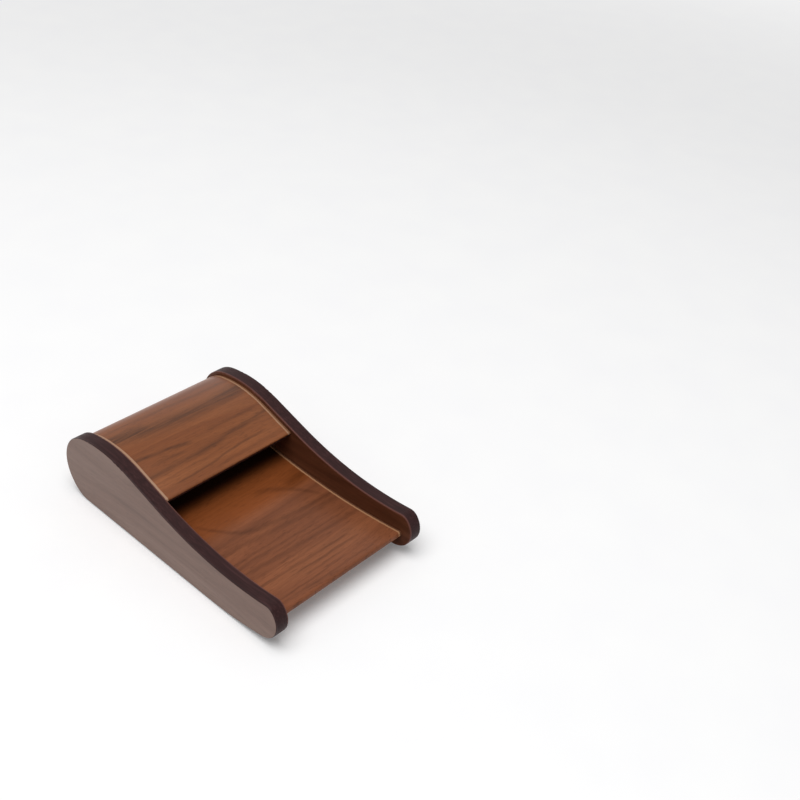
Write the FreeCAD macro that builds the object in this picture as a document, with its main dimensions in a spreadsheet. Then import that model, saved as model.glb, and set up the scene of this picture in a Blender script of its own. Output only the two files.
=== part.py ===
"""A business card holder of bent walnut laminate: two shaped side panels, an open card tray
between them and a hood that rolls over the back of the tray and round under the heel.
Millimetres. X runs across, Y from the front (negative) to the back, Z up from the table."""

import FreeCAD, Part
import math
import os

import Sketcher

ORIGIN_POINT = (-1, 1)
START, END, CENTRE = 1, 2, 3

# Each size is one cell of the sheet: its alias, its value and what it is.
SIZES = [
    ("body_length", 111.0, "side panel from the nose to the back"),
    ("body_height", 29.0, "side panel from its base line to the crown"),
    ("body_width", 70.0, "over the outer faces of both side panels"),
    ("core_thickness", 4.2, "board inside a side panel"),
    ("side_veneer", 0.6, "veneer on each face of a side panel"),
    ("arris_radius", 0.4, "eased edge of a side panel"),
    ("nose_radius", 8.2, "round front end of a side panel"),
    ("nose_drop", 5.7, "centre of the nose below the lowest point of the rim"),
    ("toe_radius", 130.0, "rise of the underside towards the nose"),
    ("lip_radius", 4.0, "turn from the top of the nose into the dip"),
    ("dip_place", 22.2, "lowest point of the rim, from the nose"),
    ("dip_height", 16.3, "lowest point of the rim above the base line"),
    ("ramp_angle", 17.1, "degrees, straight rise from the dip to the crown"),
    ("crown_rise", 0.9, "crown above the top of the round back's circle"),
    ("crown_reach", 7.4, "highest point of the crown forward of the centre of the back"),
    ("heel_cut", 0.9, "how far the base line cuts into the round back's circle"),
    ("heel_radius", 9.5, "turn from the back into the base"),
    ("hood_recess", 1.3, "hood surface below the rim"),
    ("hood_length", 49.7, "hood from its front edge to the back of the side panels"),
    ("sheet_core", 1.5, "laminate core of the hood and the tray"),
    ("sheet_veneer", 0.6, "walnut face of the hood and the tray"),
    ("glue_line", 0.3, "room between a veneer and its curved core"),
    ("bevel_width", 1.2, "eased long edges of the hood and the tray, across"),
    ("bevel_depth", 0.45, "eased long edges of the hood and the tray, down"),
    ("tray_front", 4.1, "front edge of the tray, from the nose"),
    ("tray_low_place", 42.0, "lowest point of the tray, from the nose"),
    ("tray_low_height", 7.8, "lowest point of the tray surface above the base line"),
    ("tray_radius", 245.0, "hollow of the tray"),
    ("seat_gap", 0.3, "room between a curved sheet and what it is seated on"),
    ("rail_width", 8.0, "cross rails, front to back"),
    ("front_rail_place", 24.0, "front face of the front rail, from the nose"),
    ("rear_rail_inset", 13.4, "front face of the rear rail, from the back end of the bottom board"),
    ("board_thickness", 2.4, "bottom board"),
    ("dowel_diameter", 2.0, "dowels between the rails and the side panels"),
    ("dowel_in_rail", 6.0, "length of a dowel inside its rail"),
    ("dowel_in_side", 3.4, "length of a dowel inside its side panel"),
    ("dowel_depth", 2.4, "dowels below the hollow tops of the rails"),
    ("bore_room", 0.3, "room round a dowel in its bore and past its end"),
    ("pad_diameter", 8.0, "felt pads under the bottom board"),
    ("pad_proud", 0.3, "how far the pads stand below the side panels"),
    ("pad_inset", 8.6, "pads from the long edges of the bottom board"),
    ("pad_margin", 7.0, "pads from the front and back ends of the bottom board"),
]

# Places that several pieces share, each worked out from the sheet.
INNER_HALF = "(Sizes.body_width / 2 - Sizes.core_thickness - 2 * Sizes.side_veneer)"
SHEET = "(Sizes.sheet_core + Sizes.glue_line + Sizes.sheet_veneer)"
HOOD_FRONT = "(Sizes.body_length - Sizes.hood_length)"
NOSE_HEIGHT = "(Sizes.dip_height - Sizes.nose_drop)"
BACK_RADIUS = "((Sizes.body_height - Sizes.crown_rise + Sizes.heel_cut) / 2)"
BACK_HEIGHT = "((Sizes.body_height - Sizes.crown_rise - Sizes.heel_cut) / 2)"
BACK_PLACE = f"(Sizes.body_length - {BACK_RADIUS})"
CROWN_RADIUS = f"(Sizes.crown_reach ^ 2 / (2 * Sizes.crown_rise) + {BACK_RADIUS} + Sizes.crown_rise / 2)"
CROWN_DROP = f"({CROWN_RADIUS} - Sizes.body_height)"
RAMP_FOOT = (
    f"({BACK_PLACE} - Sizes.crown_reach - {CROWN_RADIUS} / sin(Sizes.ramp_angle)"
    f" + ({CROWN_DROP} + Sizes.dip_height) / tan(Sizes.ramp_angle))"
)
DIP_RADIUS = f"(({RAMP_FOOT} - Sizes.dip_place) / tan(Sizes.ramp_angle / 2))"
HEEL_PLACE = (
    f"({BACK_PLACE} + sqrt(({BACK_RADIUS} - Sizes.heel_radius) ^ 2"
    f" - ({BACK_HEIGHT} - Sizes.heel_radius) ^ 2))"
)
FRONT_RAIL_BACK = "(Sizes.front_rail_place + Sizes.rail_width)"
REAR_RAIL_FRONT = f"({HEEL_PLACE} - Sizes.rear_rail_inset)"
TRAY_CENTRE_UP = "(Sizes.tray_low_height + Sizes.tray_radius)"
SEAT_RADIUS = f"(Sizes.tray_radius + {SHEET} + Sizes.seat_gap)"

# Radius of each arc of the side outline.
RIM_RADIUS = {
    "toe": "Sizes.toe_radius",
    "nose": "Sizes.nose_radius",
    "lip": "Sizes.lip_radius",
    "dip": DIP_RADIUS,
    "crown": CROWN_RADIUS,
    "back": BACK_RADIUS,
    "heel": "Sizes.heel_radius",
}

# How near two lengths are to count as the same, and the share by which a bore's volume may be off.
TOUCHING = 1e-3
BORE_CHECK = 0.02

doc = FreeCAD.newDocument("card_holder")
sheet = doc.addObject("Spreadsheet::Sheet", "Sizes")
for row, (alias, value, note) in enumerate(SIZES, start=1):
    sheet.set(f"A{row}", note)
    sheet.set(f"B{row}", str(value))
    sheet.setAlias(f"B{row}", alias)
doc.recompute()

pieces = []


def read(expression):
    """The number that an expression over the sheet gives."""
    return float(sheet.evalExpression(expression))


def size(alias):
    return read("Sizes." + alias)


def place(piece, across="0", along="0", up="0"):
    """Puts a piece in the part's frame: the nose of the side panels lies half a length in front."""
    piece.setExpression("Placement.Base.x", across)
    piece.setExpression("Placement.Base.y", f"{along} - Sizes.body_length / 2")
    piece.setExpression("Placement.Base.z", f"{up} + Sizes.pad_proud")
    pieces.append(piece)


def new_body(label):
    body = doc.addObject("PartDesign::Body", label)
    body.Label = label
    return body


def side_view_sketch(body, name, offset=None):
    """A sketch on the body's own YZ plane: its x runs to the back and its y runs up."""
    sketch = body.newObject("Sketcher::SketchObject", name)
    plane = next(p for p in body.Origin.OriginFeatures if p.Role == "YZ_Plane")
    sketch.AttachmentSupport = [(plane, "")]
    sketch.MapMode = "FlatFace"
    if offset is not None:
        sketch.setExpression(".AttachmentOffset.Base.z", offset)
    return sketch


def dimension(sketch, kind, where, name, expression):
    """A named constraint whose value follows the sheet."""
    index = sketch.addConstraint(Sketcher.Constraint(kind, *where, read(expression)))
    sketch.renameConstraint(index, name)
    sketch.setExpression("Constraints." + name, expression)


def join(sketch, kind, *ends):
    sketch.addConstraint(Sketcher.Constraint(kind, *ends))


def point(along, up):
    return FreeCAD.Vector(along, up, 0)


def arc(sketch, centre, radius, start, end, construction=False):
    """An arc that runs anticlockwise from the start point to the end point."""
    circle = Part.Circle(centre, FreeCAD.Vector(0, 0, 1), radius)
    angles = [math.atan2(p.y - centre.y, p.x - centre.x) for p in (start, end)]
    return sketch.addGeometry(Part.ArcOfCircle(circle, *angles), construction)


def line(sketch, start, end, construction=False):
    return sketch.addGeometry(Part.LineSegment(start, end), construction)


def touch(first, first_radius, second, second_radius):
    """Where two circles touch, one inside the other."""
    towards = (second - first).normalize()
    return first + towards * first_radius if first_radius > second_radius else first - towards * first_radius


def crossings(first, first_radius, second, second_radius):
    """The two points that lie on both circles, the upper one first."""
    apart = (second - first).Length
    along = (first_radius ** 2 - second_radius ** 2 + apart ** 2) / (2 * apart)
    towards = (second - first).normalize()
    square = FreeCAD.Vector(-towards.y, towards.x, 0) * math.sqrt(first_radius ** 2 - along ** 2)
    middle = first + towards * along
    return sorted((middle + square, middle - square), key=lambda p: -p.y)


def rim_centres():
    """Centres of the arcs of the side outline, from the sizes that fix them."""
    radius = {name: read(expression) for name, expression in RIM_RADIUS.items()}
    nose = point(radius["nose"], read(NOSE_HEIGHT))
    run = math.sqrt((radius["toe"] - radius["nose"]) ** 2 - (radius["toe"] - nose.y) ** 2)
    toe = point(nose.x + run, radius["toe"])
    dip = point(size("dip_place"), size("dip_height") + radius["dip"])
    back = point(read(BACK_PLACE), read(BACK_HEIGHT))
    crown = point(back.x - size("crown_reach"), -read(CROWN_DROP))
    heel = point(read(HEEL_PLACE), radius["heel"])
    lip = crossings(nose, radius["nose"] - radius["lip"], dip, radius["dip"] + radius["lip"])[0]
    return {"toe": toe, "nose": nose, "lip": lip, "dip": dip, "crown": crown, "back": back, "heel": heel}


def rim_joints(centres, depth):
    """Where the parts of the outline meet, on the outline drawn that much further in."""
    radius = {
        name: read(expression) + (depth if name == "dip" else -depth)
        for name, expression in RIM_RADIUS.items()
    }
    dip, crown = centres["dip"], centres["crown"]
    slope = math.atan2(crown.y - dip.y, crown.x - dip.x)
    turn = math.acos((radius["dip"] + radius["crown"]) / (crown - dip).Length)
    across = FreeCAD.Vector(math.cos(slope - turn), math.sin(slope - turn), 0)
    lip_way = (centres["lip"] - dip).normalize()
    joints = {
        "base_toe": point(centres["toe"].x, depth),
        "toe_nose": touch(centres["toe"], radius["toe"], centres["nose"], radius["nose"]),
        "nose_lip": touch(centres["nose"], radius["nose"], centres["lip"], radius["lip"]),
        "lip_dip": dip + lip_way * radius["dip"],
        "dip_ramp": dip + across * radius["dip"],
        "ramp_crown": crown - across * radius["crown"],
        "crown_back": touch(crown, radius["crown"], centres["back"], radius["back"]),
        "back_heel": touch(centres["back"], radius["back"], centres["heel"], radius["heel"]),
        "heel_base": point(centres["heel"].x, depth),
    }
    return radius, joints


def draw_rim(sketch, construction=False):
    """The side outline: base line, heel, back, crown, ramp, dip, lip, nose and toe, all tangent."""
    centres = rim_centres()
    radius, at = rim_joints(centres, 0.0)
    part = {"base": line(sketch, at["base_toe"], at["heel_base"], construction)}
    ends = {
        "heel": ("heel_base", "back_heel"),
        "back": ("back_heel", "crown_back"),
        "crown": ("crown_back", "ramp_crown"),
        "dip": ("lip_dip", "dip_ramp"),
        "lip": ("lip_dip", "nose_lip"),
        "nose": ("nose_lip", "toe_nose"),
        "toe": ("toe_nose", "base_toe"),
    }
    for name, (start, end) in ends.items():
        part[name] = arc(sketch, centres[name], radius[name], at[start], at[end], construction)
    part["ramp"] = line(sketch, at["ramp_crown"], at["dip_ramp"], construction)
    for first, first_end, second, second_end in (
        ("base", END, "heel", START),
        ("heel", END, "back", START),
        ("back", END, "crown", START),
        ("crown", END, "ramp", START),
        ("ramp", END, "dip", END),
        ("dip", START, "lip", START),
        ("lip", END, "nose", START),
        ("nose", END, "toe", START),
        ("toe", END, "base", START),
    ):
        join(sketch, "Tangent", part[first], first_end, part[second], second_end)
    join(sketch, "Horizontal", part["base"])
    join(sketch, "PointOnObject", part["base"], START, -1)
    for name, expression in RIM_RADIUS.items():
        dimension(sketch, "Radius", (part[name],), name + "_turn", expression)
    for kind, name, label, expression in (
        ("DistanceX", "nose", "nose_in", "Sizes.nose_radius"),
        ("DistanceY", "nose", "nose_up", NOSE_HEIGHT),
        ("DistanceX", "dip", "dip_in", "Sizes.dip_place"),
        ("DistanceY", "dip", "dip_up", f"Sizes.dip_height + {DIP_RADIUS}"),
        ("DistanceX", "back", "back_in", BACK_PLACE),
        ("DistanceY", "back", "back_up", BACK_HEIGHT),
    ):
        dimension(sketch, kind, (*ORIGIN_POINT, part[name], CENTRE), label, expression)
    dimension(sketch, "DistanceY", (part["crown"], CENTRE, *ORIGIN_POINT), "crown_down", CROWN_DROP)
    return part, centres


def edges_where(shape, test):
    """Names of the edges whose every vertex and middle point pass the test."""
    found = []
    for number, edge in enumerate(shape.Edges, start=1):
        middle = edge.valueAt((edge.FirstParameter + edge.LastParameter) / 2)
        if all(test(p) for p in [v.Point for v in edge.Vertexes] + [middle]):
            found.append(f"Edge{number}")
    return found


def add_pad(body, sketch, length, reversed_way=False, middle=False):
    pad = body.newObject("PartDesign::Pad", "pad")
    pad.Profile = sketch
    pad.setExpression("Length", length)
    if middle:
        pad.SideType = "Symmetric"
    pad.Reversed = reversed_way
    doc.recompute()
    return pad


def round_edges(body, pad, test, radius):
    """Rounds the edges of the pad that pass the test."""
    fillet = body.newObject("PartDesign::Fillet", "arris")
    fillet.Base = (pad, edges_where(pad.Shape, test))
    fillet.setExpression("Radius", radius)
    doc.recompute()


def cut_dowel_bores(body, places, depth, reversed_way, offset=None):
    """Bores for dowels that lie along X, from the plane of the sketch into the piece."""
    sketch = side_view_sketch(body, "bores", offset)
    bore = "(Sizes.dowel_diameter / 2 + Sizes.bore_room)"
    for number, (along, up) in enumerate(places):
        centre = point(read(along), read(up))
        ring = sketch.addGeometry(Part.Circle(centre, FreeCAD.Vector(0, 0, 1), read(bore)), False)
        dimension(sketch, "Radius", (ring,), f"bore_{number}", bore)
        dimension(sketch, "DistanceX", (*ORIGIN_POINT, ring, CENTRE), f"bore_in_{number}", along)
        dimension(sketch, "DistanceY", (*ORIGIN_POINT, ring, CENTRE), f"bore_up_{number}", up)
    before = body.Shape.Volume
    pocket = body.newObject("PartDesign::Pocket", "dowel_bores")
    pocket.Profile = sketch
    pocket.setExpression("Length", depth)
    pocket.Reversed = reversed_way
    doc.recompute()
    removed = len(places) * math.pi * read(bore) ** 2 * read(depth)
    if abs(before - pocket.Shape.Volume - removed) > BORE_CHECK * removed:
        raise RuntimeError(f"{body.Label}: the dowel bores cut the wrong volume")


def dowel_place(rail_front):
    """Middle of a rail, and the height of its dowels below its hollow top."""
    middle = f"({rail_front} + Sizes.rail_width / 2)"
    reach = f"({middle} - Sizes.tray_low_place)"
    return middle, f"({TRAY_CENTRE_UP} - sqrt({SEAT_RADIUS} ^ 2 - {reach} ^ 2) - Sizes.dowel_depth)"


DOWEL_PLACES = (dowel_place("Sizes.front_rail_place"), dowel_place(REAR_RAIL_FRONT))


# Side panels. Each is a board cut to the rim outline with a walnut veneer on both faces.
# The rails' dowels enter the board through the inner veneer.
def make_side(side, sign):
    outward = sign < 0
    core = new_body(f"side_core_{side}")
    rim = side_view_sketch(core, "rim")
    draw_rim(rim)
    add_pad(core, rim, "Sizes.core_thickness", reversed_way=outward)
    bore_depth = "Sizes.dowel_in_side - Sizes.side_veneer + Sizes.bore_room"
    cut_dowel_bores(core, DOWEL_PLACES, bore_depth, reversed_way=sign > 0)
    place(core, across=f"{sign} * ({INNER_HALF} + Sizes.side_veneer)")

    inner = new_body(f"side_inner_veneer_{side}")
    rim = side_view_sketch(inner, "rim")
    draw_rim(rim)
    pad = add_pad(inner, rim, "Sizes.side_veneer", reversed_way=outward)
    on_inner_face = lambda p: abs(p.x) < TOUCHING
    round_edges(inner, pad, on_inner_face, "Sizes.arris_radius")
    cut_dowel_bores(inner, DOWEL_PLACES, "Sizes.side_veneer", reversed_way=sign > 0)
    place(inner, across=f"{sign} * {INNER_HALF}")

    outer = new_body(f"side_outer_veneer_{side}")
    rim = side_view_sketch(outer, "rim")
    draw_rim(rim)
    pad = add_pad(outer, rim, "Sizes.side_veneer", reversed_way=outward)
    on_outer_face = lambda p: abs(abs(p.x) - size("side_veneer")) < TOUCHING
    round_edges(outer, pad, on_outer_face, "Sizes.arris_radius")
    place(outer, across=f"{sign} * (Sizes.body_width / 2 - Sizes.side_veneer)")


# Hood. A bent sheet that follows the rim at a constant depth below it, from its front edge on
# the ramp over the crown and round the back to the flat of the base.
def draw_hood_band(sketch, outer_depth, inner_depth):
    rim, centres = draw_rim(sketch, construction=True)
    front = read(HOOD_FRONT)
    band = {}
    for layer, depth in (("outer", outer_depth), ("inner", inner_depth)):
        radius, at = rim_joints(centres, read(depth))
        slope = at["dip_ramp"] - at["ramp_crown"]
        tip = at["ramp_crown"] + slope * ((front - at["ramp_crown"].x) / slope.x)
        heel = arc(sketch, centres["heel"], radius["heel"], at["heel_base"], at["back_heel"])
        back = arc(sketch, centres["back"], radius["back"], at["back_heel"], at["crown_back"])
        crown = arc(sketch, centres["crown"], radius["crown"], at["crown_back"], at["ramp_crown"])
        ramp = line(sketch, at["ramp_crown"], tip)
        join(sketch, "Coincident", heel, CENTRE, rim["heel"], CENTRE)
        join(sketch, "Coincident", back, CENTRE, rim["back"], CENTRE)
        join(sketch, "Coincident", crown, CENTRE, rim["crown"], CENTRE)
        join(sketch, "Tangent", heel, END, back, START)
        join(sketch, "Tangent", back, END, crown, START)
        join(sketch, "Tangent", crown, END, ramp, START)
        join(sketch, "Parallel", ramp, rim["ramp"])
        join(sketch, "Vertical", heel, CENTRE, heel, START)
        dimension(sketch, "DistanceY", (*ORIGIN_POINT, heel, START), layer + "_depth", depth)
        dimension(sketch, "DistanceX", (*ORIGIN_POINT, ramp, END), layer + "_front", HOOD_FRONT)
        band[layer] = (heel, ramp, at["heel_base"], tip)
    outer_heel, outer_ramp, outer_low, outer_tip = band["outer"]
    inner_heel, inner_ramp, inner_low, inner_tip = band["inner"]
    front_end = line(sketch, outer_tip, inner_tip)
    low_end = line(sketch, inner_low, outer_low)
    join(sketch, "Coincident", front_end, START, outer_ramp, END)
    join(sketch, "Coincident", front_end, END, inner_ramp, END)
    join(sketch, "Coincident", low_end, START, inner_heel, START)
    join(sketch, "Coincident", low_end, END, outer_heel, START)


def bevel_long_edges(body, pad, surface_radius):
    """Bevels the walnut face where it meets the side panels, wider across than it is deep. The
    edges are picked by the radius of the surface, and the ones tangent to them follow."""
    half = read(INNER_HALF)
    chosen = []
    for number, edge in enumerate(pad.Shape.Edges, start=1):
        along_side = all(abs(abs(v.X) - half) < TOUCHING for v in edge.Vertexes)
        if along_side and isinstance(edge.Curve, Part.Circle):
            if abs(edge.Curve.Radius - surface_radius) < TOUCHING:
                chosen.append(f"Edge{number}")
    bevel = body.newObject("PartDesign::Chamfer", "bevel")
    bevel.Base = (pad, chosen)
    bevel.ChamferType = "Two distances"
    bevel.setExpression("Size", "Sizes.bevel_width")
    bevel.setExpression("Size2", "Sizes.bevel_depth")
    inset = half - size("bevel_width")
    for flip in (False, True):
        bevel.FlipDirection = flip
        doc.recompute()
        if any(abs(abs(v.X) - inset) < TOUCHING for v in bevel.Shape.Vertexes):
            return bevel
    raise RuntimeError(f"{body.Label}: the bevel has its width and depth the wrong way round")


def make_hood():
    veneer = new_body("hood_veneer")
    sketch = side_view_sketch(veneer, "band")
    draw_hood_band(sketch, "Sizes.hood_recess", "Sizes.hood_recess + Sizes.sheet_veneer")
    pad = add_pad(veneer, sketch, f"2 * {INNER_HALF}", middle=True)
    bevel_long_edges(veneer, pad, read(CROWN_RADIUS) - size("hood_recess"))
    place(veneer)

    core = new_body("hood_core")
    sketch = side_view_sketch(core, "band")
    outer_depth = "Sizes.hood_recess + Sizes.sheet_veneer + Sizes.glue_line"
    draw_hood_band(sketch, outer_depth, f"Sizes.hood_recess + {SHEET}")
    add_pad(core, sketch, f"2 * {INNER_HALF}", middle=True)
    place(core)


# Tray. A sheet with one long shallow bend, from its front edge between the noses of the side
# panels, in under the hood, to just short of the inside of the hood's round back.
TRAY_LIMIT = f"({BACK_RADIUS} - Sizes.hood_recess - {SHEET} - Sizes.seat_gap)"


def tray_centre():
    return point(size("tray_low_place"), read(TRAY_CENTRE_UP))


def tray_point(along, radius):
    """Where the bend with that radius is at that place along the tray."""
    centre = tray_centre()
    return point(along, centre.y - math.sqrt(radius ** 2 - (along - centre.x) ** 2))


def tray_arc(sketch, radius, start, end, name, construction=False):
    """One bend of the tray between two places, about the centre that all its layers share."""
    ends = [tray_point(along, read(radius)) for along in (start, end)]
    bend = arc(sketch, tray_centre(), read(radius), *ends, construction)
    dimension(sketch, "Radius", (bend,), name + "_radius", radius)
    dimension(sketch, "DistanceX", (*ORIGIN_POINT, bend, CENTRE), name + "_in", "Sizes.tray_low_place")
    dimension(sketch, "DistanceY", (*ORIGIN_POINT, bend, CENTRE), name + "_up", TRAY_CENTRE_UP)
    return bend, ends


def close_between(sketch, first, first_end, first_point, second, second_end, second_point):
    """A straight end from one line or arc to another."""
    end = line(sketch, first_point, second_point)
    join(sketch, "Coincident", end, START, first, first_end)
    join(sketch, "Coincident", end, END, second, second_end)
    return end


def make_tray():
    veneer_under = "Sizes.tray_radius + Sizes.sheet_veneer"
    layers = (
        ("tray_veneer", "Sizes.tray_radius", veneer_under),
        ("tray_core", veneer_under + " + Sizes.glue_line", f"Sizes.tray_radius + {SHEET}"),
    )
    back_centre = point(read(BACK_PLACE), read(BACK_HEIGHT))
    limit, surface = read(TRAY_LIMIT), size("tray_radius")
    front = size("tray_front")
    back = max(crossings(back_centre, limit, tray_centre(), surface), key=lambda p: p.x).x
    for label, upper, lower in layers:
        layer = new_body(label)
        sketch = side_view_sketch(layer, "band")
        stop = sketch.addGeometry(Part.Circle(back_centre, FreeCAD.Vector(0, 0, 1), limit), True)
        dimension(sketch, "Radius", (stop,), "stop", TRAY_LIMIT)
        dimension(sketch, "DistanceX", (*ORIGIN_POINT, stop, CENTRE), "stop_in", BACK_PLACE)
        dimension(sketch, "DistanceY", (*ORIGIN_POINT, stop, CENTRE), "stop_up", BACK_HEIGHT)
        face, _ = tray_arc(sketch, "Sizes.tray_radius", front, back, "face", construction=True)
        dimension(sketch, "DistanceX", (*ORIGIN_POINT, face, START), "face_front", "Sizes.tray_front")
        join(sketch, "PointOnObject", face, END, stop)
        top, top_ends = tray_arc(sketch, upper, front, back, "top")
        under, under_ends = tray_arc(sketch, lower, front, back, "under")
        for bend in (top, under):
            join(sketch, "Vertical", bend, START, face, START)
            join(sketch, "Vertical", bend, END, face, END)
        close_between(sketch, under, START, under_ends[0], top, START, top_ends[0])
        close_between(sketch, top, END, top_ends[1], under, END, under_ends[1])
        pad = add_pad(layer, sketch, f"2 * {INNER_HALF}", middle=True)
        if label == "tray_veneer":
            bevel_long_edges(layer, pad, surface)
        place(layer)


# Cross rails. Two bars under the tray, their tops hollowed to its bend. The front one is the
# front end of the underside, and the rear one stands on the bottom board.
def make_rail(label, front, foot):
    rail = new_body(label)
    sketch = side_view_sketch(rail, "section")
    back = f"({front} + Sizes.rail_width)"
    top, top_ends = tray_arc(sketch, SEAT_RADIUS, read(front), read(back), "seat")
    low_front, low_back = (point(read(side), read(foot)) for side in (front, back))
    bottom = line(sketch, low_front, low_back)
    dimension(sketch, "DistanceX", (*ORIGIN_POINT, bottom, START), "foot_front", front)
    dimension(sketch, "DistanceX", (*ORIGIN_POINT, bottom, END), "foot_back", back)
    dimension(sketch, "DistanceY", (*ORIGIN_POINT, bottom, START), "foot_up", foot)
    join(sketch, "Horizontal", bottom)
    back_end = close_between(sketch, bottom, END, low_back, top, END, top_ends[1])
    front_end = close_between(sketch, top, START, top_ends[0], bottom, START, low_front)
    join(sketch, "Vertical", back_end)
    join(sketch, "Vertical", front_end)
    add_pad(rail, sketch, f"2 * {INNER_HALF}", middle=True)
    depth = "Sizes.dowel_in_rail + Sizes.bore_room"
    cut_dowel_bores(rail, [dowel_place(front)], depth, False, INNER_HALF)
    cut_dowel_bores(rail, [dowel_place(front)], depth, True, "-" + INNER_HALF)
    place(rail)


# Bottom board. It closes the underside behind the front rail, level with the lower end of the
# hood, which it meets edge to edge.
def make_bottom_board():
    board = doc.addObject("Part::Box", "bottom_board")
    board.setExpression("Length", f"2 * {INNER_HALF}")
    board.setExpression("Width", f"{HEEL_PLACE} - {FRONT_RAIL_BACK}")
    board.setExpression("Height", "Sizes.board_thickness")
    place(board, across="-" + INNER_HALF, along=FRONT_RAIL_BACK, up="Sizes.hood_recess")


# Dowels. Two at each end of the rails, half in the rail and half in the side panel.
def make_dowel(label, sign, along, up):
    dowel = doc.addObject("Part::Cylinder", label)
    dowel.Placement = FreeCAD.Placement(FreeCAD.Vector(), FreeCAD.Rotation(FreeCAD.Vector(0, 1, 0), 90))
    dowel.setExpression("Radius", "Sizes.dowel_diameter / 2")
    dowel.setExpression("Height", "Sizes.dowel_in_rail + Sizes.dowel_in_side")
    inner_end = f"{INNER_HALF} - Sizes.dowel_in_rail"
    outer_end = f"-({INNER_HALF} + Sizes.dowel_in_side)"
    place(dowel, across=inner_end if sign > 0 else outer_end, along=along, up=up)


# Pads. Four felt discs on the bottom board carry the holder just clear of its side panels.
def make_pad(label, sign, along):
    pad = doc.addObject("Part::Cylinder", label)
    pad.setExpression("Radius", "Sizes.pad_diameter / 2")
    pad.setExpression("Height", "Sizes.pad_proud + Sizes.hood_recess")
    place(pad, across=f"{sign} * ({INNER_HALF} - Sizes.pad_inset)", along=along, up="-Sizes.pad_proud")


make_hood()
make_tray()
make_rail("front_rail", "Sizes.front_rail_place", "Sizes.hood_recess")
make_rail("rear_rail", REAR_RAIL_FRONT, "Sizes.hood_recess + Sizes.board_thickness")
make_bottom_board()
for side, sign in (("left", -1), ("right", 1)):
    make_side(side, sign)
    for end, (along, up) in zip(("front", "rear"), DOWEL_PLACES):
        make_dowel(f"{end}_dowel_{side}", sign, along, up)
    make_pad(f"front_pad_{side}", sign, f"{FRONT_RAIL_BACK} + Sizes.pad_margin")
    make_pad(f"rear_pad_{side}", sign, f"{HEEL_PLACE} - Sizes.pad_margin")
doc.recompute()

for thing in doc.Objects:
    bad = [state for state in thing.State if state in ("Invalid", "Error")]
    if bad:
        raise RuntimeError(f"{thing.Label}: {bad}")
for piece in pieces:
    if piece.Shape.isNull() or not piece.Shape.isValid():
        raise RuntimeError(f"{piece.Label}: its shape is null or not valid")

os.makedirs("parts", exist_ok=True)
for piece in pieces:
    piece.Shape.exportStep(f"parts/{piece.Label}.step")
    print(piece.Label, round(piece.Shape.Volume, 1), len(piece.Shape.Solids))
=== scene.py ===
"""A business card holder of bent walnut laminate. Two shaped side panels hold an open card tray,
and a hood rolls over the back of the tray and round under the heel. Metres, in the part's frame."""

from math import asin, atan2, cos, radians, sin

import bmesh
import bpy
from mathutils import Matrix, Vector


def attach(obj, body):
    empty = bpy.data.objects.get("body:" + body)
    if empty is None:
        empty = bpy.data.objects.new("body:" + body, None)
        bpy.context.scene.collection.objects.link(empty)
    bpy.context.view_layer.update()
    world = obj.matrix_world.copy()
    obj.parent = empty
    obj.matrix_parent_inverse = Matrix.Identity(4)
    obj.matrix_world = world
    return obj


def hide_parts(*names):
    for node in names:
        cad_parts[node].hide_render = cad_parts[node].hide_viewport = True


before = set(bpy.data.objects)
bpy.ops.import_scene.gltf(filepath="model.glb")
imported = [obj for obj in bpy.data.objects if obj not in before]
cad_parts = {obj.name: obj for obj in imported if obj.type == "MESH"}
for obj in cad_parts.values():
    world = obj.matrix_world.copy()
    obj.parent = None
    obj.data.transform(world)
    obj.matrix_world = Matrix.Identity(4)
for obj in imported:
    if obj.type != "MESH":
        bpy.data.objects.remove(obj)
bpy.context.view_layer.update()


# Side panels. Two boards 5.4 mm thick, sawn to the long flowing rim, with walnut veneer on both
# faces. The sawn rims are stained nearly black, over the veneers' own edges too, and every face
# has a satin lacquer. The outer faces are paler and greyer than the inner ones, from a painted
# sheen.
MM = 0.001
RIM_TONES = ("#261616", "#311c1c", "#432a2a")
# The outer face's walnut tones carry a painted grey sheen.
OUTER_WALNUT_AND_SHEEN_TONES = ("#796259", "#81695f", "#887167")
INNER_TONES = ("#4b2919", "#5b3422", "#6b402b")
# Painted highlight on the inner veneer's sawn edge, along the arris.
ARRIS_PAINTED_HIGHLIGHT = "#664039"
LENGTHWISE = radians(-90)
PLY = 0.7 * MM
SIDE_BAND = 5 * MM

# The figure of the wood, by the length and width of its parts. Real pores are 0.1 mm wide and the
# fine lines 0.2 mm. Both are drawn about twice as coarse, because the render wouldn't show them.
BAND_LENGTH = 160 * MM
STREAK_LENGTH = 70 * MM
STREAK_SHARE = 0.38
LINE_LENGTH = 30 * MM
FINE_LINE = 0.45 * MM
PORE_LENGTH = 3.2 * MM
PORE = 0.22 * MM
PORE_DEPTH = 0.06 * MM
SWAY = 16 * MM
SWAY_LENGTH = 95 * MM
SWAY_WIDTH = 26 * MM
SATIN_SMOOTHEST = 0.28
SATIN_ROUGHEST = 0.42
# Painted warm bounce light: how far the back of the tray is turned towards its orange tone.
PAINTED_BOUNCE_STRENGTH = 0.85

# How a single growth line wavers, breaks up and fades at its ends.
WAVER = 2.4 * MM
WAVER_LENGTH = 15 * MM
WAVER_WIDTH = 9 * MM
BREAK_LENGTH = 13 * MM
BREAK_WIDTH = 0.8 * MM
SOFT_SIDES = 1.5
FADING_END = 5 * MM


def linear(colour):
    """The linear colour that an sRGB hex colour stands for."""
    parts = [int(colour[i:i + 2], 16) / 255 for i in (1, 3, 5)]
    return [p / 12.92 if p <= 0.04045 else ((p + 0.055) / 1.055) ** 2.4 for p in parts] + [1.0]


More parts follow.
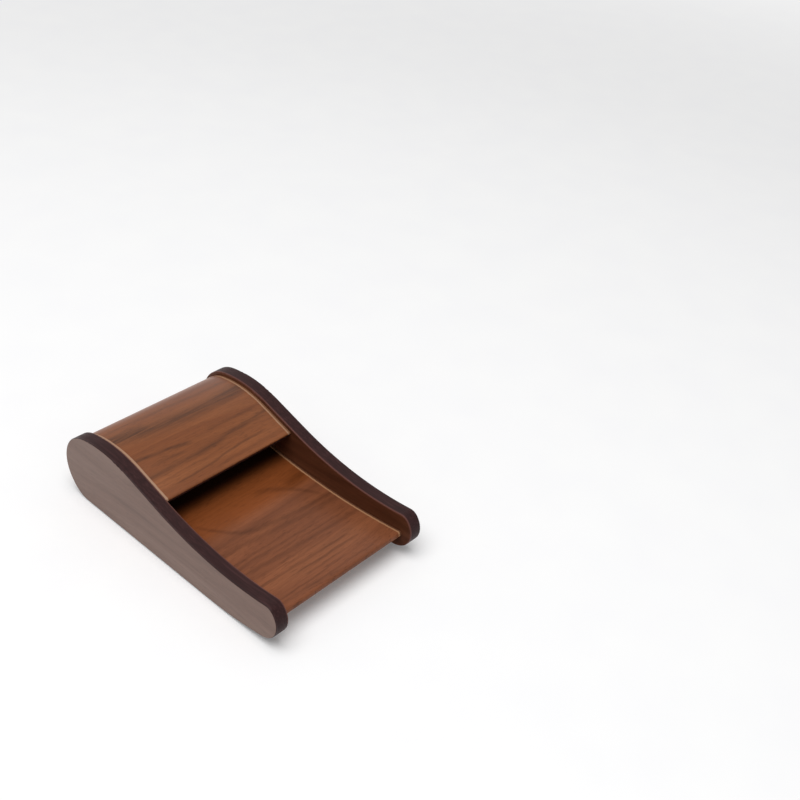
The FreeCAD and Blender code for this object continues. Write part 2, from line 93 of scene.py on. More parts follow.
def add(tree, kind, takes=(), stops=(), **settings):
    """Adds a node: its settings, the inputs that it takes, linked or set, and a ramp's stops."""
    node = tree.nodes.new(kind)
    for name, value in settings.items():
        setattr(node, name, value)
    for name, value in dict(takes).items():
        if isinstance(value, bpy.types.NodeSocket):
            tree.links.new(value, node.inputs[name])
        else:
            node.inputs[name].default_value = value
    for number, (place, colour) in enumerate(stops):
        points = node.color_ramp.elements
        point = points[number] if number < len(points) else points.new(place)
        point.position = place
        point.color = linear(colour)
    return node


def new_finish(name):
    """A new material with its output and shader, and nothing else yet."""
    material = bpy.data.materials.new(name)
    material.use_nodes = True
    tree = material.node_tree
    tree.nodes.clear()
    shader = add(tree, "ShaderNodeBsdfPrincipled")
    add(tree, "ShaderNodeOutputMaterial", {"Surface": shader.outputs[0]})
    return material, tree, shader


def grain(tree, where, along, across, detail=3.0, roughness=0.55, seed=0.0):
    """Noise drawn out along the grain: how long and how wide its streaks are, in metres."""
    size = (1 / along, 1 / across, 1 / across)
    aside = (seed * 1.3, seed * 0.37, seed * 0.73)
    drawn = add(
        tree, "ShaderNodeVectorMath", {0: where, 1: size, 2: aside}, operation="MULTIPLY_ADD"
    ).outputs[0]
    takes = {"Vector": drawn, "Scale": 1.0, "Detail": detail, "Roughness": roughness}
    return add(tree, "ShaderNodeTexNoise", takes).outputs["Fac"]


def growth_lines(tree, place, shade, lines):
    """Draws single growth lines of the veneer into its shade, from a table like the tray's."""
    parts = add(tree, "ShaderNodeSeparateXYZ", {0: place})
    across, along = parts.outputs["X"], parts.outputs["Y"]
    waver = grain(tree, place, WAVER_LENGTH, WAVER_WIDTH, detail=2.0, seed=2.9)
    drift = add(
        tree, "ShaderNodeMath", {0: waver, 1: WAVER, 2: -WAVER / 2}, operation="MULTIPLY_ADD"
    ).outputs[0]
    here = add(tree, "ShaderNodeMath", {0: along, 1: drift}, operation="ADD").outputs[0]
    broken = add(
        tree, "ShaderNodeMapRange",
        {"Value": grain(tree, place, BREAK_LENGTH, BREAK_WIDTH, detail=2.0, seed=6.6),
         "From Min": 0.34, "From Max": 0.58, "To Min": 0.45, "To Max": 1.0},
    ).outputs[0]
    for at, slope, bow, bow_at, half, depth, left, right in lines:
        aside = add(
            tree, "ShaderNodeMath", {0: across, 1: bow_at * MM}, operation="SUBTRACT"
        ).outputs[0]
        rise = add(
            tree, "ShaderNodeMath", {0: aside, 1: bow / MM, 2: slope}, operation="MULTIPLY_ADD"
        ).outputs[0]
        centre = add(
            tree, "ShaderNodeMath", {0: aside, 1: rise, 2: at * MM}, operation="MULTIPLY_ADD"
        ).outputs[0]
        off = add(tree, "ShaderNodeMath", {0: here, 1: centre}, operation="SUBTRACT").outputs[0]
        gap = add(tree, "ShaderNodeMath", {0: off}, operation="ABSOLUTE").outputs[0]
        near = add(
            tree, "ShaderNodeMapRange",
            {"Value": gap, "From Min": 0.0, "From Max": SOFT_SIDES * half * MM,
             "To Min": 1.0, "To Max": 0.0},
            interpolation_type="SMOOTHSTEP",
        ).outputs[0]
        mid, reach = (left + right) / 2 * MM, (right - left) / 2 * MM
        out = add(tree, "ShaderNodeMath", {0: across, 1: mid}, operation="SUBTRACT").outputs[0]
        far = add(tree, "ShaderNodeMath", {0: out}, operation="ABSOLUTE").outputs[0]
        ends = add(
            tree, "ShaderNodeMapRange",
            {"Value": far, "From Min": reach - FADING_END, "From Max": reach,
             "To Min": depth, "To Max": 0.0},
            interpolation_type="SMOOTHSTEP",
        ).outputs[0]
        there = add(tree, "ShaderNodeMath", {0: near, 1: ends}, operation="MULTIPLY").outputs[0]
        seen = add(tree, "ShaderNodeMath", {0: there, 1: broken}, operation="MULTIPLY").outputs[0]
        rest = add(tree, "ShaderNodeMath", {0: 1.0, 1: seen}, operation="SUBTRACT").outputs[0]
        shade = add(tree, "ShaderNodeMath", {0: shade, 1: rest}, operation="MULTIPLY").outputs[0]
    return shade


def figured_wood(
    name, where_from, tones, band, streaks=0.25, pores=0.25, gloss=0.25, turn=0.0, seed=0.0,
    lines=(), painted_bounce=None,
):
    """The finish of a piece of wood: broad tone bands, darker streaks, fine lines and short open
    pores, all along the grain, which runs along the first coordinate."""
    material, tree, shader = new_finish(name)
    place = add(tree, "ShaderNodeTexCoord").outputs[where_from]
    turned = add(tree, "ShaderNodeMapping", {"Vector": place, "Rotation": (0, 0, turn)}).outputs[0]
    sway = grain(tree, turned, SWAY_LENGTH, SWAY_WIDTH, detail=1.0, seed=seed + 3.1)
    drift = add(
        tree, "ShaderNodeMath", {0: sway, 1: SWAY, 2: -SWAY / 2}, operation="MULTIPLY_ADD"
    ).outputs[0]
    aside = add(tree, "ShaderNodeCombineXYZ", {"Y": drift, "Z": drift}).outputs[0]
    where = add(tree, "ShaderNodeVectorMath", {0: turned, 1: aside}, operation="ADD").outputs[0]
    bands = grain(tree, where, BAND_LENGTH, band, detail=2.5, seed=seed)
    ground = add(
        tree, "ShaderNodeValToRGB", {"Fac": bands}, stops=zip((0.30, 0.48, 0.66), tones)
    ).outputs["Color"]
    # Painted warm bounce light from the hood: the tone turns orange towards the back along the
    # bend.
    if painted_bounce:
        start, end, tone = painted_bounce
        along = add(tree, "ShaderNodeSeparateXYZ", {0: where}).outputs["Y"]
        warm = add(
            tree, "ShaderNodeMapRange",
            {"Value": along, "From Min": start, "From Max": end,
             "To Min": 0.0, "To Max": PAINTED_BOUNCE_STRENGTH},
            interpolation_type="SMOOTHSTEP",
        ).outputs[0]
        ground = add(
            tree, "ShaderNodeMix", {0: warm, 6: ground, 7: linear(tone)}, data_type="RGBA"
        ).outputs[2]
    streak = add(
        tree, "ShaderNodeMapRange",
        {"Value": grain(tree, where, STREAK_LENGTH, band * STREAK_SHARE, roughness=0.6,
                        seed=seed + 1.7),
         "From Min": 0.36, "From Max": 0.56, "To Min": 1 - streaks, "To Max": 1.0},
    ).outputs[0]
    fine = grain(tree, where, LINE_LENGTH, FINE_LINE, detail=2.0, seed=seed + 5.3)
    line = add(
        tree, "ShaderNodeMapRange",
        {"Value": fine, "From Min": 0.3, "From Max": 0.7, "To Min": 0.91, "To Max": 1.07},
    ).outputs[0]
    pore = add(
        tree, "ShaderNodeMapRange",
        {"Value": grain(tree, where, PORE_LENGTH, PORE, detail=0.0, seed=seed + 8.9),
         "From Min": 0.27, "From Max": 0.36, "To Min": 1 - pores, "To Max": 1.0},
    ).outputs[0]
    shade = add(tree, "ShaderNodeMath", {0: streak, 1: line}, operation="MULTIPLY").outputs[0]
    shade = add(tree, "ShaderNodeMath", {0: shade, 1: pore}, operation="MULTIPLY").outputs[0]
    shade = growth_lines(tree, place, shade, lines) if lines else shade
    colour = add(
        tree, "ShaderNodeMix", {0: 1.0, 6: ground, 7: shade},
        data_type="RGBA", blend_type="MULTIPLY",
    ).outputs[2]
    tree.links.new(colour, shader.inputs["Base Color"])
    dull = add(
        tree, "ShaderNodeMapRange",
        {"Value": fine, "To Min": SATIN_SMOOTHEST, "To Max": SATIN_ROUGHEST},
    ).outputs[0]
    tree.links.new(dull, shader.inputs["Roughness"])
    shader.inputs["Specular IOR Level"].default_value = gloss
    bump = add(
        tree, "ShaderNodeBump", {"Strength": 0.25, "Distance": PORE_DEPTH, "Height": pore}
    ).outputs[0]
    tree.links.new(bump, shader.inputs["Normal"])
    return material, tree, shader, colour


def dress(node, material):
    """Gives a solid of the model its finish."""
    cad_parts[node].data.materials.clear()
    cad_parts[node].data.materials.append(material)


def stained_edge(tree):
    """Dark stain on sawn board: thin plies across the thickness, blurred, and a fine long grain."""
    place = add(tree, "ShaderNodeTexCoord").outputs["Object"]
    turned = add(
        tree, "ShaderNodeMapping", {"Vector": place, "Rotation": (0, 0, LENGTHWISE)}
    ).outputs[0]
    ply = grain(tree, turned, 60 * MM, PLY, detail=1.0, seed=2.2)
    fine = grain(tree, turned, 9 * MM, FINE_LINE, detail=2.0, seed=6.1)
    both = add(tree, "ShaderNodeMix", {0: 0.45, 2: ply, 3: fine}).outputs[0]
    return add(
        tree, "ShaderNodeValToRGB", {"Fac": both}, stops=zip((0.28, 0.5, 0.75), RIM_TONES)
    ).outputs[0]


# Dark wood stain on a sanded rim. It soaks in unevenly, so the eye sees a brown black with the
# plies just showing, and only a dull shine.
rim_stain, tree, shader = new_finish("dark_stained_rim")
tree.links.new(stained_edge(tree), shader.inputs["Base Color"])
shader.inputs["Roughness"].default_value = 0.5
shader.inputs["Specular IOR Level"].default_value = 0.1
for side in ("left", "right"):
    dress(f"side_core_{side}", rim_stain)

# Lacquered walnut veneer. The outer face is quiet walnut, grey brown from a painted sheen, with a
# weak shine, the inner one deep red brown and streaky. Each shows its face on the flat and the
# rim's stain on its own sawn edge, and the inner one's edge has a painted highlight, paler along
# the arris.
for layer, tones, streaks, gloss, seed in (
    ("outer", OUTER_WALNUT_AND_SHEEN_TONES, 0.04, 0.15, 12.0),
    ("inner", INNER_TONES, 0.2, 0.1, 10.0),
):
    veneer, tree, shader, face_colour = figured_wood(
        f"walnut_{layer}_face", "Object", tones, SIDE_BAND, streaks, pores=0.12, gloss=gloss,
        turn=LENGTHWISE, seed=seed,
    )
    normal = add(tree, "ShaderNodeTexCoord").outputs["Normal"]
    sideways = add(tree, "ShaderNodeSeparateXYZ", {0: normal}).outputs["X"]
    flat = add(tree, "ShaderNodeMath", {0: sideways}, operation="ABSOLUTE").outputs[0]
    on_face = add(
        tree, "ShaderNodeMapRange",
        {"Value": flat, "From Min": 0.80, "From Max": 0.97, "To Min": 0.0, "To Max": 1.0},
    ).outputs[0]
    edge = stained_edge(tree)
    if layer == "inner":
        # Painted highlight: the inner veneer's sawn edge is mixed towards a paler tone, most where
        # it turns towards the face at the arris.
        arris_highlight_amount = add(
            tree, "ShaderNodeMapRange",
            {"Value": flat, "From Min": 0.0, "From Max": 0.7, "To Min": 0.6, "To Max": 0.9},
        ).outputs[0]
        edge = add(
            tree, "ShaderNodeMix", {0: arris_highlight_amount, 6: edge, 7: linear(ARRIS_PAINTED_HIGHLIGHT)}, data_type="RGBA"
        ).outputs[2]
    mixed = add(
        tree, "ShaderNodeMix", {0: on_face, 6: edge, 7: face_colour}, data_type="RGBA"
    ).outputs[2]
    tree.links.new(mixed, shader.inputs["Base Color"])
    for side in ("left", "right"):
        dress(f"side_{layer}_veneer_{side}", veneer)


# Rails and dowels. Two plain bars of beech across the holder, hollowed on top for the tray, with
# two short dowels in each end that go into the side panels. Planed, no stain and no lacquer.
BEECH_TONES = ("#a9784f", "#c39a6c", "#d4b288")
BEECH_BAND = 2.4 * MM

# Planed beech: pale, even and warm, with short dark flecks, and dry to the eye.
beech, tree, shader, _ = figured_wood(
    "planed_beech", "Object", BEECH_TONES, BEECH_BAND, streaks=0.09, pores=0.2, gloss=0.3,
    seed=31.0,
)
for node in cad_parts:
    if "rail" in node or "dowel" in node:
        dress(node, beech)


# Tray. One sheet of laminate 2.4 mm thick, bent to a long shallow hollow, walnut on top, front
# edge rounded over. Its long edges are eased, and the pale wood under the veneer shows there.
# From where the hood covers it, painted shade darkens it almost to black. It stands on the two
# rails.
SHEET_WIDTH = 59.2 * MM
SHEET_THICKNESS = 2.4 * MM
EDGE_ACROSS = 1.5 * MM
EDGE_DOWN = 0.3 * MM
PALE_ACROSS = 0.75 * MM
TRAY_RADIUS = 245 * MM
TRAY_CENTRE = Vector((0, -13.5, 253.1)) * MM
TRAY_FRONT = -51.2 * MM
TRAY_BACK = 51.0 * MM
TRAY_STEPS = 48
TRAY_ROUND = 0.9 * MM
TRAY_TONES = ("#73442d", "#804c32", "#8c5538")
TRAY_BAND = 6 * MM
# Painted warm bounce light from the hood: orange from the lowest place of the hollow to 9 mm behind
# it, and on to the back.
TRAY_PAINTED_BOUNCE = (0, 9 * MM, "#80431d")
TRAY_PALE = "#ab7f5d"
# Painted shade on the strip between the pale line and the panel.
TRAY_PAINTED_SHADE = "#664330"
# Painted shade of the pocket under the hood: along the bend, between the two distances below, the
# tray fades almost to this near black.
POCKET_PAINTED_SHADE = "#1e0d07"
POCKET_SHADE_FROM = 18.5 * MM
POCKET_SHADE_TO = 26 * MM
POCKET_SHADE_STRENGTH = 0.95

# The growth lines of the tray's figure, in millimetres: where each crosses the middle, counted
# from the lowest place of the hollow to the back, its slope, its bow and the place across that it
# bows about, half its width, how much it darkens (a negative one lightens), and its two ends.
TRAY_LINES = (
    (-1.7, 0.0, 0.04, -2, 1.5, 0.32, -23, 2),
    (-2.0, -0.09, 0.0, 0, 1.3, 0.30, -4, 32),
    (12.0, 0.0, -0.05, 8, 1.8, 0.30, 4, 27),
    (10.0, 0.3, 0.0, 24, 4.0, 0.34, 16, 34),
    (7.5, 0.0, 0.0, 0, 5.0, -0.12, -10, 14),
    (-4.2, -0.05, 0.0, -14, 1.2, 0.24, -32, -2),
    (-6.6, -0.08, 0.0, 10, 1.2, 0.24, -6, 32),
    (-9.4, 0.02, 0.0, 0, 0.5, 0.2, -26, 5),
    (-12.0, 0.0, 0.0, 0, 0.6, 0.22, -32, 14),
    (-14.4, -0.02, 0.0, 0, 0.5, 0.2, -12, 28),
    (-16.9, -0.04, 0.0, 0, 1.0, 0.28, -26, 28),
    (-19.2, 0.02, 0.0, 0, 0.45, 0.2, -24, 6),
    (-21.2, 0.02, 0.0, 0, 0.5, 0.28, -14, 14),
    (-24.2, -0.02, 0.0, 0, 0.7, 0.36, -28, 18),
    (-27.3, -0.02, 0.0, 0, 0.6, 0.36, -14, 19),
    (-30.0, 0.0, 0.0, 0, 0.5, 0.32, -12, 9),
    (-32.4, 0.02, 0.0, 0, 0.5, 0.28, -28, 9),
    (-35.0, 0.0, 0.0, 0, 0.5, 0.2, -16, 24),
)


def pick(kind, test):
    """In edit mode, selects the vertices or edges that pass the test, and nothing else."""
    bpy.ops.mesh.select_mode(type={"verts": "VERT", "edges": "EDGE"}[kind])
    bpy.ops.mesh.select_all(action="DESELECT")
    mesh = bmesh.from_edit_mesh(bpy.context.object.data)
    for item in getattr(mesh, kind):
        item.select_set(test(item))
    bmesh.update_edit_mesh(bpy.context.object.data)


def middle(edge):
    """The middle of an edge."""
    return sum((v.co for v in edge.verts), Vector()) / len(edge.verts)


def crosswise(edge):
    """Whether an edge runs across the holder."""
    return abs(edge.verts[0].co.x - edge.verts[1].co.x) > 0.1 * MM


def sheet_end(name, top, slope):
    """The end of a bent sheet, stood square to its slope with its top edge at a point: a thin
    upright oblong whose top corners are eased."""
    bpy.ops.object.select_all(action="DESELECT")
    bpy.ops.mesh.primitive_plane_add(size=1)
    sheet = bpy.context.object
    sheet.name = name
    sheet.scale = (SHEET_WIDTH, SHEET_THICKNESS, 1)
    bpy.ops.object.transform_apply(location=True, rotation=True, scale=True)
    bpy.ops.object.mode_set(mode="EDIT")
    eased_from = SHEET_WIDTH / 2 - EDGE_ACROSS
    for place in (-eased_from, eased_from):
        bpy.ops.mesh.select_all(action="SELECT")
        bpy.ops.mesh.bisect(plane_co=(place, 0, 0), plane_no=(1, 0, 0))
    pick("verts", lambda v: abs(v.co.x) > eased_from + EDGE_ACROSS / 2 and v.co.y > 0)
    bpy.ops.transform.translate(value=(0, -EDGE_DOWN, 0))
    for place in (-eased_from - PALE_ACROSS, eased_from + PALE_ACROSS):
        bpy.ops.mesh.select_all(action="SELECT")
        bpy.ops.mesh.bisect(plane_co=(place, 0, 0), plane_no=(1, 0, 0))
    bpy.ops.mesh.select_all(action="SELECT")
    bpy.ops.transform.translate(value=(0, -SHEET_THICKNESS / 2, 0))
    bpy.ops.object.mode_set(mode="OBJECT")
    sheet.rotation_euler = (radians(90) + slope, 0, 0)
    sheet.location = top
    bpy.ops.object.transform_apply(location=True, rotation=True, scale=True)
    bpy.ops.object.mode_set(mode="EDIT")
    bpy.ops.mesh.select_mode(type="FACE")
    bpy.ops.mesh.select_all(action="SELECT")
    return sheet


def bend(centre, turn, steps):
    """Carries the selected end of the sheet round a centre line, upwards for a positive turn."""
    bpy.ops.mesh.spin(steps=steps, angle=turn, center=centre, axis=(-1, 0, 0))


def close_sheet(front_test, radius):
    """Welds the bent sheet, turns its faces outwards and rounds its front edges."""
    bpy.ops.mesh.select_all(action="SELECT")
    bpy.ops.mesh.remove_doubles(threshold=0.01 * MM)
    bpy.ops.mesh.normals_make_consistent(inside=False)
    pick("edges", front_test)
    bpy.ops.mesh.bevel(offset=radius, segments=6, affect="EDGES")
    bpy.ops.object.mode_set(mode="OBJECT")
    bpy.ops.object.shade_smooth_by_angle(angle=radians(30))


def lay_out(sheet, distance):
    """Unrolls the sheet into its UV map in metres: across the holder, then along the bend."""
    layers = sheet.data.uv_layers
    layer = layers[0] if layers else layers.new(name="unrolled")
    for loop in sheet.data.loops:
        place = sheet.data.vertices[loop.vertex_index].co
        layer.data[loop.index].uv = (place.x, distance(place))


def pale_edges(tree, shader, colour, tone, shade):
    """The eased long edges: a pale line along each, and painted shade between it and the panel."""
    place = add(tree, "ShaderNodeTexCoord").outputs["Object"]
    across = add(tree, "ShaderNodeSeparateXYZ", {0: place}).outputs["X"]
    out = add(tree, "ShaderNodeMath", {0: across}, operation="ABSOLUTE").outputs[0]
    ragged = grain(tree, place, 2 * MM, 2 * MM, detail=2.0, seed=4.4)
    wobble = add(
        tree, "ShaderNodeMath", {0: ragged, 1: 0.24 * MM, 2: -0.12 * MM}, operation="MULTIPLY_ADD"
    ).outputs[0]
    edge = add(tree, "ShaderNodeMath", {0: out, 1: wobble}, operation="ADD").outputs[0]
    start, soft = SHEET_WIDTH / 2 - EDGE_ACROSS, 0.07 * MM
    for place_at, next_colour in ((start, tone), (start + PALE_ACROSS, shade)):
        begins = add(
            tree, "ShaderNodeMapRange",
            {"Value": edge, "From Min": place_at - soft, "From Max": place_at + soft},
        ).outputs[0]
        colour = add(
            tree, "ShaderNodeMix", {0: begins, 6: colour, 7: linear(next_colour)},
            data_type="RGBA",
        ).outputs[2]
    tree.links.new(colour, shader.inputs["Base Color"])


tray_start = asin((TRAY_FRONT - TRAY_CENTRE.y) / TRAY_RADIUS)
tray_end = asin((TRAY_BACK - TRAY_CENTRE.y) / TRAY_RADIUS)
tray_top = TRAY_CENTRE + Vector((0, sin(tray_start), -cos(tray_start))) * TRAY_RADIUS
tray = sheet_end("tray", tray_top, tray_start)
bend(TRAY_CENTRE, tray_end - tray_start, TRAY_STEPS)
close_sheet(lambda e: crosswise(e) and abs(middle(e).y - TRAY_FRONT) < 0.5 * MM, TRAY_ROUND)
lay_out(tray, lambda p: atan2(p.y - TRAY_CENTRE.y, TRAY_CENTRE.z - p.z) * TRAY_RADIUS)

# Lacquered walnut veneer, grain across the tray. The eye sees dark close lines towards the front,
# a plain field behind them with two curved lines, warmed orange by painted bounce light from the
# hood, and very little shine.
tray_walnut, tree, shader, colour = figured_wood(
    "walnut_tray", "UV", TRAY_TONES, TRAY_BAND, streaks=0.08, gloss=0.12, seed=4.0,
    lines=TRAY_LINES, painted_bounce=TRAY_PAINTED_BOUNCE,
)
unrolled = add(tree, "ShaderNodeTexCoord").outputs["UV"]
along = add(tree, "ShaderNodeSeparateXYZ", {0: unrolled}).outputs["Y"]
# Painted shade: the tray fades to near black where the hood covers it.
pocket_shade_amount = add(
    tree, "ShaderNodeMapRange",
    {"Value": along, "From Min": POCKET_SHADE_FROM, "From Max": POCKET_SHADE_TO,
     "To Min": 0.0, "To Max": POCKET_SHADE_STRENGTH},
    interpolation_type="SMOOTHSTEP",
).outputs[0]
colour = add(
    tree, "ShaderNodeMix", {0: pocket_shade_amount, 6: colour, 7: linear(POCKET_PAINTED_SHADE)}, data_type="RGBA"
).outputs[2]
pale_edges(tree, shader, colour, TRAY_PALE, TRAY_PAINTED_SHADE)
tray.data.materials.append(tray_walnut)
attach(tray, "root")
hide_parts("tray_veneer", "tray_core")


# Bottom board. A thin stained board that closes the underside, from the front rail back to the
# lower end of the hood. Stained once and left dull.
BOARD_TONES = ("#241811", "#382618", "#453021")
BOARD_BAND = 4 * MM

# Dark stained board: the grain shows faintly through a brown stain.
board_stain, tree, shader, _ = figured_wood(
    "stained_board", "Object", BOARD_TONES, BOARD_BAND, streaks=0.15, gloss=0.3, seed=21.0
)
dress("bottom_board", board_stain)


# Hood. The same laminate bent three times: up the ramp and over the crown, round the back, and in
# under the heel, where it meets the bottom board. Its long edges are eased. Its front edge is
# rounded and, like its underside, stained as dark as the rims.
RAMP = radians(17.1)
HOOD_FRONT = Vector((0, 5.8, 21.486)) * MM
HOOD_RAMP = 14.841 * MM / cos(RAMP)
CROWN = Vector((0, 33.6, -16.072)) * MM
BACK = Vector((0, 41.0, 13.9)) * MM
HEEL = Vector((0, 43.862, 9.8)) * MM
CROWN_RADIUS = 44.07 * MM
BACK_RADIUS = 13.2 * MM
HEEL_RADIUS = 8.2 * MM
CROWN_STEPS = 20
BACK_STEPS = 48
HEEL_STEPS = 12
HOOD_ROUND = 0.8 * MM
FRONT_WITHIN = 3 * MM
TURNED_OUT = 0.3
HOOD_TONES = ("#723e20", "#7d4725", "#89512d")
HOOD_BAND = 6.5 * MM
HOOD_PALE = "#a68065"
# Painted shade on the strip between the pale line and the panel.
HOOD_PAINTED_SHADE = "#805940"

# The growth lines of the hood's figure, and one painted highlight, as in the tray's table, counted
# from its front edge.
HOOD_LINES = (
    (27.8, -0.06, 0.003, 0, 3.6, 0.56, -34, 36),
    (32.0, 0.0, 0.0, 0, 2.6, 0.30, -34, -12),
    (17.6, -0.12, 0.0, -18, 0.9, 0.50, -34, -4),
    (17.0, 0.0, 0.0, 14, 0.8, 0.24, 0, 28),
    (11.0, 0.06, 0.0015, 0, 1.2, 0.42, -34, 33),
    (13.8, -0.05, 0.0, -18, 0.8, 0.26, -27, -8),
    (5.0, 0.07, 0.0, 0, 0.55, 0.40, -24, 24),
    (8.0, 0.04, 0.0, 0, 0.4, 0.16, -30, 10),
    (2.2, 0.04, 0.0, 0, 0.5, 0.22, -6, 30),
    (36.4, -0.05, 0.0, 0, 0.8, 0.20, -30, 30),
    # A painted highlight, not a growth line: it lightens the front of the ramp, where the lamp
    # shines on it.
    (3.6, 0.0, 0.0, 0, 4.5, -0.09, -38, 38),
)

hood = sheet_end("hood", HOOD_FRONT, RAMP)
bpy.ops.mesh.extrude_region_move(
    TRANSFORM_OT_translate={"value": (0, HOOD_RAMP * cos(RAMP), HOOD_RAMP * sin(RAMP))}
)
crown_start = radians(90) + RAMP
crown_end = atan2(BACK.z - CROWN.z, BACK.y - CROWN.y)
back_end = atan2(HEEL.z - BACK.z, HEEL.y - BACK.y)
bend(CROWN, crown_end - crown_start, CROWN_STEPS)
bend(BACK, back_end - crown_end, BACK_STEPS)
bend(HEEL, radians(-90) - back_end, HEEL_STEPS)


def on_front(edge):
    """Whether an edge is one of the two that run across at the hood's front."""
    place = middle(edge)
    near = (place - HOOD_FRONT).yz.length < FRONT_WITHIN and place.y < HOOD_FRONT.y + 1 * MM
    return near and crosswise(edge)


def along_hood(place):
    """Distance along the hood's bend from its front edge."""
    crown_way = atan2(place.z - CROWN.z, place.y - CROWN.y)
    back_way = atan2(place.z - BACK.z, place.y - BACK.y)
    heel_way = atan2(place.z - HEEL.z, place.y - HEEL.y)
    if crown_way > crown_start:
        return (place.y - HOOD_FRONT.y) * cos(RAMP) + (place.z - HOOD_FRONT.z) * sin(RAMP)
    if crown_way > crown_end and place.z > BACK.z:
        return HOOD_RAMP + (crown_start - crown_way) * CROWN_RADIUS
    so_far = HOOD_RAMP + (crown_start - crown_end) * CROWN_RADIUS
    if back_way > back_end:
        return so_far + (crown_end - back_way) * BACK_RADIUS
    return so_far + (crown_end - back_end) * BACK_RADIUS + (back_end - heel_way) * HEEL_RADIUS


def faces_out(face):
    """Whether a face of the hood belongs to its outer surface, not its front edge or underside."""
    outward = Vector((0, -sin(RAMP), cos(RAMP)))
    if face.center.y > HOOD_FRONT.y + HOOD_RAMP * cos(RAMP):
        centre = CROWN if face.center.y < BACK.y and face.center.z > BACK.z else BACK
        if face.center.z < HEEL.z:
            centre = HEEL
        outward = face.center - centre
        outward.x = 0
        outward.normalize()
    return face.normal.dot(outward) > TURNED_OUT


close_sheet(on_front, HOOD_ROUND)
lay_out(hood, along_hood)

# Lacquered walnut veneer, grain across the hood. A thin clear coat gives the crown a soft grey
# sheen where it turns away from the eye, over red brown wood with a few long dark lines.
hood_walnut, tree, shader, colour = figured_wood(
    "walnut_hood", "UV", HOOD_TONES, HOOD_BAND, streaks=0.08, gloss=0.12, seed=0.6,
    lines=HOOD_LINES,
)
shader.inputs["Coat Weight"].default_value = 0.25
shader.inputs["Coat Roughness"].default_value = 0.3
pale_edges(tree, shader, colour, HOOD_PALE, HOOD_PAINTED_SHADE)
hood.data.materials.append(hood_walnut)
hood.data.materials.append(rim_stain)
for face in hood.data.polygons:
    face.material_index = 0 if faces_out(face) else 1
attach(hood, "root")
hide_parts("hood_veneer", "hood_core")


# Pads. Four discs of pressed brown felt, glued under the bottom board, that keep the side panels
# just off the table. Their rims are soft and a little fuzzy.
PADS = {
    "front_pad_left": (-21, -16.5), "front_pad_right": (21, -16.5),
    "rear_pad_left": (-21, 36.86), "rear_pad_right": (21, 36.86),
}
PAD_RADIUS = 4 * MM
PAD_HEIGHT = 1.6 * MM
PAD_ROUND = 0.25 * MM
PAD_SIDES = 64
FELT_TONES = ("#2a1c15", "#3d2c22", "#584436")
TUFT = 0.38 * MM
TUFT_DEPTH = 0.12 * MM

# Pressed wool felt: a matt, mottled brown without any shine. Its fibres are 0.02 mm thick, and
# are drawn as tufts of them, because the render wouldn't show the fibres.
felt, tree, shader = new_finish("brown_pressed_felt")
place = add(tree, "ShaderNodeTexCoord").outputs["Object"]
tufts = add(
    tree, "ShaderNodeTexNoise",
    {"Vector": place, "Scale": 1 / TUFT, "Detail": 3.0, "Roughness": 0.7},
).outputs["Fac"]
mottled = add(
    tree, "ShaderNodeValToRGB", {"Fac": tufts}, stops=zip((0.3, 0.5, 0.72), FELT_TONES)
).outputs[0]
tree.links.new(mottled, shader.inputs["Base Color"])
shader.inputs["Roughness"].default_value = 0.95
bump = add(
    tree, "ShaderNodeBump", {"Strength": 0.6, "Distance": TUFT_DEPTH, "Height": tufts}
).outputs[0]
tree.links.new(bump, shader.inputs["Normal"])
for node, (x, y) in PADS.items():
    bpy.ops.object.select_all(action="DESELECT")
    bpy.ops.mesh.primitive_cylinder_add(
        vertices=PAD_SIDES, radius=PAD_RADIUS, depth=PAD_HEIGHT,
        location=(x * MM, y * MM, PAD_HEIGHT / 2),
    )
    pad = bpy.context.object
    pad.name = f"{node}_felt"
    bpy.ops.object.transform_apply(location=True, rotation=True, scale=True)
    bpy.ops.object.mode_set(mode="EDIT")
    pick("edges", lambda e: abs(e.verts[0].co.z - e.verts[1].co.z) < 0.01 * MM)
    bpy.ops.mesh.bevel(offset=PAD_ROUND, segments=4, affect="EDGES")
    bpy.ops.object.mode_set(mode="OBJECT")
    bpy.ops.object.shade_smooth_by_angle(angle=radians(40))
    pad.data.materials.append(felt)
    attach(pad, "root")
    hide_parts(node)


# Studio. A white seamless sheet that fades to plain white far off, an even white surround and one
# large soft lamp above. The camera looks down on the holder from its front left, far enough round
# to see into the tray.
PAPER_SIZE = 6
PAPER_TONES = ("#f6f6f7", "#f8f8f8")
PAPER_GLOW = 0.1
FAR_GLOW = 0.95
GLOW_FROM = 0.45
GLOW_TO = 1.8
PLAIN_WHITE = linear("#ffffff")
SURROUND_LIGHT = 0.35
SURROUND_SEEN = 1.0
LAMP_SIZE = 1.2
LAMP_POWER = 13.0
LAMP_PLACE = Vector((-0.35, -0.05, 1.25))
CAMERA_PLACE = (-0.21747, -0.23282, 0.28686)
CAMERA_TURN = (54.192, -5.969, -48.188)
FOCAL_LENGTH = 52.01
SENSOR_WIDTH = 36


def looked_at(tree):
    """1 for what is seen, straight, mirrored or through glass, and 0 for what only gives light."""
    paths = add(tree, "ShaderNodeLightPath").outputs
    seen = paths["Is Camera Ray"]
    for path in ("Is Glossy Ray", "Is Transmission Ray"):
        seen = add(
            tree, "ShaderNodeMath", {0: seen, 1: paths[path]}, operation="MAXIMUM"
        ).outputs[0]
    return seen


bpy.ops.object.select_all(action="DESELECT")
bpy.ops.mesh.primitive_plane_add(size=PAPER_SIZE)
floor = bpy.context.object
floor.name = "floor"

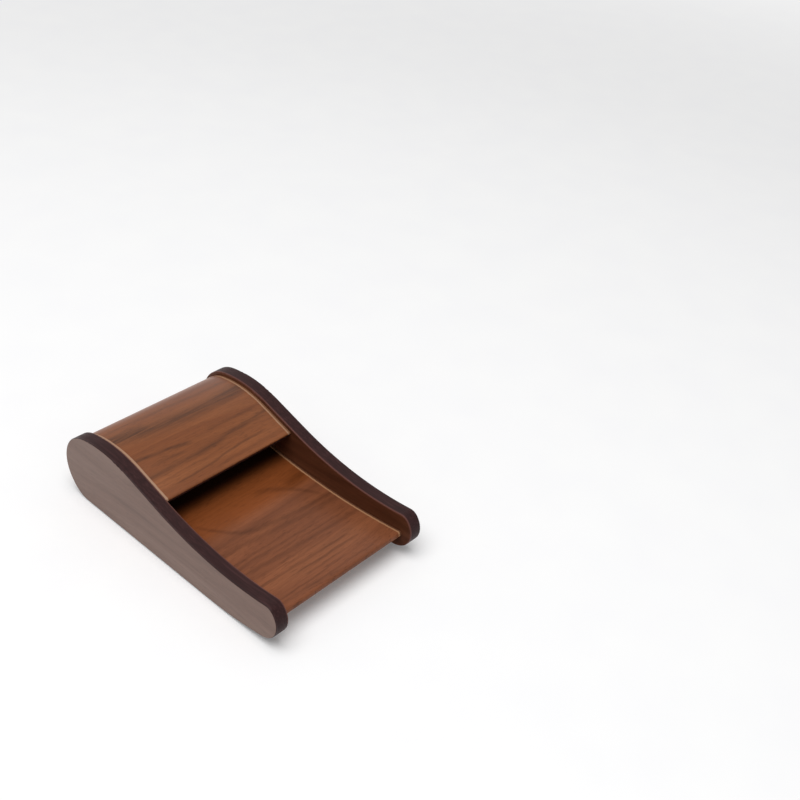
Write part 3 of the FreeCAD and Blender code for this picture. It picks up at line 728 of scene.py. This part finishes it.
# White seamless paper: matt, with the faintest mottling, and it keeps the holder's soft shadow.
paper, tree, shader = new_finish("white_seamless_paper")
place = add(tree, "ShaderNodeTexCoord").outputs["Object"]
pulp = add(
    tree, "ShaderNodeTexNoise", {"Vector": place, "Scale": 40.0, "Detail": 2.0}
).outputs["Fac"]
paper_white = add(
    tree, "ShaderNodeValToRGB", {"Fac": pulp}, stops=zip((0.3, 0.7), PAPER_TONES)
).outputs[0]
tree.links.new(paper_white, shader.inputs["Base Color"])
shader.inputs["Roughness"].default_value = 0.9
shader.inputs["Specular IOR Level"].default_value = 0.0
distance = add(tree, "ShaderNodeVectorMath", {0: place}, operation="LENGTH").outputs["Value"]
fading = add(
    tree, "ShaderNodeMapRange",
    {"Value": distance, "From Min": GLOW_FROM, "From Max": GLOW_TO,
     "To Min": PAPER_GLOW, "To Max": FAR_GLOW},
    interpolation_type="SMOOTHSTEP",
).outputs[0]
glow = add(
    tree, "ShaderNodeMath", {0: looked_at(tree), 1: fading}, operation="MULTIPLY"
).outputs[0]
tree.links.new(glow, shader.inputs["Emission Strength"])
shader.inputs["Emission Color"].default_value = PLAIN_WHITE
floor.data.materials.append(paper)

world = bpy.data.worlds.new("studio")
bpy.context.scene.world = world
world.use_nodes = True
tree = world.node_tree
tree.nodes.clear()
lit, seen = (
    add(tree, "ShaderNodeBackground", {"Color": PLAIN_WHITE, "Strength": strength}).outputs[0]
    for strength in (SURROUND_LIGHT, SURROUND_SEEN)
)
chosen = add(tree, "ShaderNodeMixShader", {0: looked_at(tree), 1: lit, 2: seen}).outputs[0]
add(tree, "ShaderNodeOutputWorld", {"Surface": chosen})

lamp_data = bpy.data.lights.new("soft_box", "AREA")
lamp_data.shape = "DISK"
lamp_data.size = LAMP_SIZE
lamp_data.energy = LAMP_POWER
lamp = bpy.data.objects.new("soft_box", lamp_data)
bpy.context.scene.collection.objects.link(lamp)
lamp.location = LAMP_PLACE
lamp.rotation_euler = (-LAMP_PLACE).to_track_quat("-Z", "Y").to_euler()

camera_data = bpy.data.cameras.new("camera")
camera_data.sensor_width = SENSOR_WIDTH
camera_data.lens = FOCAL_LENGTH
camera = bpy.data.objects.new("camera", camera_data)
bpy.context.scene.collection.objects.link(camera)
camera.location = CAMERA_PLACE
camera.rotation_euler = [radians(turn) for turn in CAMERA_TURN]
bpy.context.scene.camera = camera
bpy.context.scene.view_settings.view_transform = "Standard"
